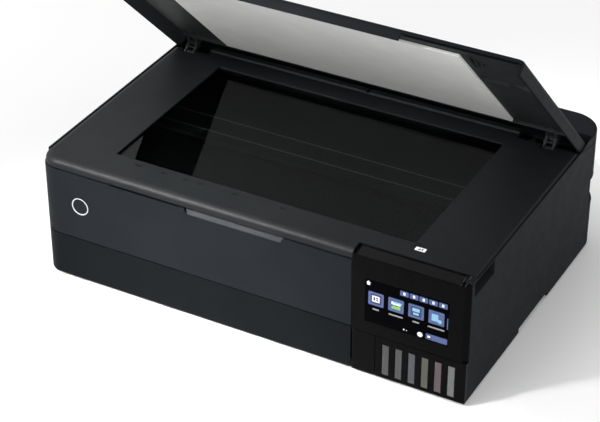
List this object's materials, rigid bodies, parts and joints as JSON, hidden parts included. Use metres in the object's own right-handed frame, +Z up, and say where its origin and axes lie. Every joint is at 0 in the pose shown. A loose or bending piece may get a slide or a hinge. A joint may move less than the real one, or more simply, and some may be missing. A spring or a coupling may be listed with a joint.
{
  "type": "inkjet printer",
  "caption": "Low wide inkjet multifunction printer with a flatbed scanner lid, a tilting touch panel, refillable ink tanks and a paper cassette.",
  "frame": {"origin": "on the floor, under the middle of the overall box", "axes": "+X to the right seen from the front, -Y out of the front, +Z up"},
  "size_m": [0.523, 0.379, 0.3543],
  "materials": {
    "casing": "fine satin texture",
    "gloss_panel": "polished",
    "screen": "polished, lit behind",
    "scan_glass": "polished",
    "inner_black": "moulded matt",
    "white_mat": "smooth matt sheet",
    "light_ring": "translucent",
    "steel": "pressed sheet",
    "rubber": "matt",
    "circuit_board": "solder mask",
    "ink_photo_black": "translucent tank wall",
    "ink_black": "translucent tank wall",
    "ink_cyan": "translucent tank wall",
    "ink_yellow": "translucent tank wall",
    "ink_magenta": "translucent tank wall",
    "ink_grey": "translucent tank wall"
  },
  "bodies": {
    "root": {"base_pan": "steel", "foot_front_left": "rubber", "foot_front_right": "rubber", "foot_rear_left": "rubber", "foot_rear_right": "rubber", "left_casing": "casing", "right_casing": "casing", "rear_casing": "casing", "rear_top_cover": "casing", "paper_chute": "inner_black", "front_upper_panel": "casing", "power_ring": "light_ring", "mid_frame": "inner_black", "ink_fascia": "gloss_panel", "ink_tank_1": "ink_photo_black", "ink_tank_2": "ink_black", "ink_tank_3": "ink_cyan", "ink_tank_4": "ink_yellow", "ink_tank_5": "ink_magenta", "ink_tank_6": "ink_grey", "ink_caps": "rubber", "ink_tube_ribbon": "rubber", "right_front_frame": "inner_black", "carriage_rail": "steel", "platen": "inner_black", "timing_belt": "rubber", "carriage_motor": "steel", "maintenance_station": "inner_black", "maintenance_box": "inner_black", "logic_board": "circuit_board", "power_supply": "steel", "power_inlet": "inner_black", "port_block": "inner_black"},
    "scanner": {"scanner_frame": "casing", "scanner_front_rim": "casing", "scanner_ledge": "casing", "scanner_glass": "scan_glass", "scanner_base": "inner_black"},
    "scan_head": {"scan_carriage": "inner_black"},
    "lid": {"lid_top_shell": "casing", "lid_underside": "inner_black", "lid_pad": "white_mat"},
    "ink_cover": {"ink_tank_cover": "inner_black"},
    "panel": {"control_panel": "gloss_panel", "touch_screen": "screen"},
    "button": {"power_button": "casing"},
    "door": {"card_door": "gloss_panel"},
    "cassette": {"cassette_tray": "inner_black"},
    "guide_left": {"cassette_guide_left": "inner_black"},
    "guide_right": {"cassette_guide_right": "inner_black"},
    "flap": {"front_cover": "casing"},
    "tray": {"output_tray": "inner_black"},
    "stop": {"paper_stop": "inner_black"},
    "rear_cover": {"rear_feed_cover": "casing"},
    "rear_support": {"paper_support": "inner_black"},
    "carriage": {"print_carriage": "inner_black"},
    "drive_pulley": {"motor_pulley": "steel"},
    "free_pulley": {"idler_pulley": "steel"},
    "feed": {"feed_roller": "rubber"},
    "eject": {"eject_roller": "rubber"}
  },
  "joints": [
    {"name": "scanner_lift", "type": "hinge", "parent": "root", "child": "scanner", "pos_m": [0, 0.15, 0.146], "axis": [-1, 0, 0], "range_deg": [0, 30]},
    {"name": "lid_hinge", "type": "hinge", "parent": "scanner", "child": "lid", "pos_m": [0, 0.098, 0.1476], "axis": [-1, 0, 0], "range_deg": [-44.9, 25]},
    {"name": "scan_drive", "type": "slide", "parent": "scanner", "child": "scan_head", "axis": [1, 0, 0], "range_m": [0, 0.4]},
    {"name": "ink_cover_hinge", "type": "hinge", "parent": "root", "child": "ink_cover", "pos_m": [0, -0.092, 0.097], "axis": [-1, 0, 0], "range_deg": [0, 60]},
    {"name": "panel_tilt", "type": "hinge", "parent": "root", "child": "panel", "pos_m": [0, -0.178, 0.1476], "axis": [-1, 0, 0], "range_deg": [0, 45]},
    {"name": "power_press", "type": "slide", "parent": "root", "child": "button", "axis": [0, 1, 0], "range_m": [0, 0.001], "stiffness_N_per_m": 400, "springref_m": -0.0005},
    {"name": "door_hinge", "type": "hinge", "parent": "root", "child": "door", "pos_m": [0.1324, -0.1862, 0], "axis": [0, 0, -1], "range_deg": [0, 95]},
    {"name": "cassette_slide", "type": "slide", "parent": "root", "child": "cassette", "axis": [0, -1, 0], "range_m": [0, 0.25]},
    {"name": "guide_slide", "type": "slide", "parent": "cassette", "child": "guide_left", "axis": [1, 0, 0], "range_m": [0, 0.045]},
    {"name": "guide_follow", "type": "slide", "parent": "cassette", "child": "guide_right", "axis": [-1, 0, 0], "range_m": [0, 0.045]},
    {"name": "flap_hinge", "type": "hinge", "parent": "cassette", "child": "flap", "pos_m": [0, -0.183, 0.008], "axis": [1, 0, 0], "range_deg": [0, 90]},
    {"name": "tray_slide", "type": "slide", "parent": "root", "child": "tray", "axis": [0, -1, 0], "range_m": [0, 0.152]},
    {"name": "stop_hinge", "type": "hinge", "parent": "tray", "child": "stop", "pos_m": [0, -0.121, 0.0436], "axis": [1, 0, 0], "range_deg": [0, 70]},
    {"name": "rear_cover_hinge", "type": "hinge", "parent": "root", "child": "rear_cover", "pos_m": [0, 0.1732, 0.151], "axis": [-1, 0, 0], "range_deg": [0, 105]},
    {"name": "support_slide", "type": "slide", "parent": "rear_cover", "child": "rear_support", "axis": [0, -1, 0], "range_m": [0, 0.06]},
    {"name": "carriage_drive", "type": "slide", "parent": "root", "child": "carriage", "axis": [-1, 0, 0], "range_m": [0, 0.37]},
    {"name": "motor_pulley_turn", "type": "hinge", "parent": "root", "child": "drive_pulley", "pos_m": [-0.236, 0, 0.096], "axis": [0, -1, 0], "continuous": true},
    {"name": "idler_pulley_turn", "type": "hinge", "parent": "root", "child": "free_pulley", "pos_m": [0.24, 0, 0.096], "axis": [0, -1, 0], "continuous": true},
    {"name": "feed_turn", "type": "hinge", "parent": "root", "child": "feed", "pos_m": [0, 0.042, 0.056], "axis": [1, 0, 0], "continuous": true},
    {"name": "eject_turn", "type": "hinge", "parent": "root", "child": "eject", "pos_m": [0, -0.048, 0.056], "axis": [1, 0, 0], "continuous": true}
  ],
  "couplings": [
    {"joint": "ink_cover_hinge", "follows": "scanner_lift", "ratio": 2},
    {"joint": "guide_follow", "follows": "guide_slide", "ratio": 1},
    {"joint": "tray_slide", "follows": "flap_hinge", "m_per_rad": 0.096},
    {"joint": "support_slide", "follows": "rear_cover_hinge", "m_per_rad": 0.032},
    {"joint": "motor_pulley_turn", "follows": "carriage_drive", "rad_per_m": 156.25},
    {"joint": "idler_pulley_turn", "follows": "carriage_drive", "rad_per_m": 156.25},
    {"joint": "eject_turn", "follows": "feed_turn", "ratio": 1.25}
  ]
}
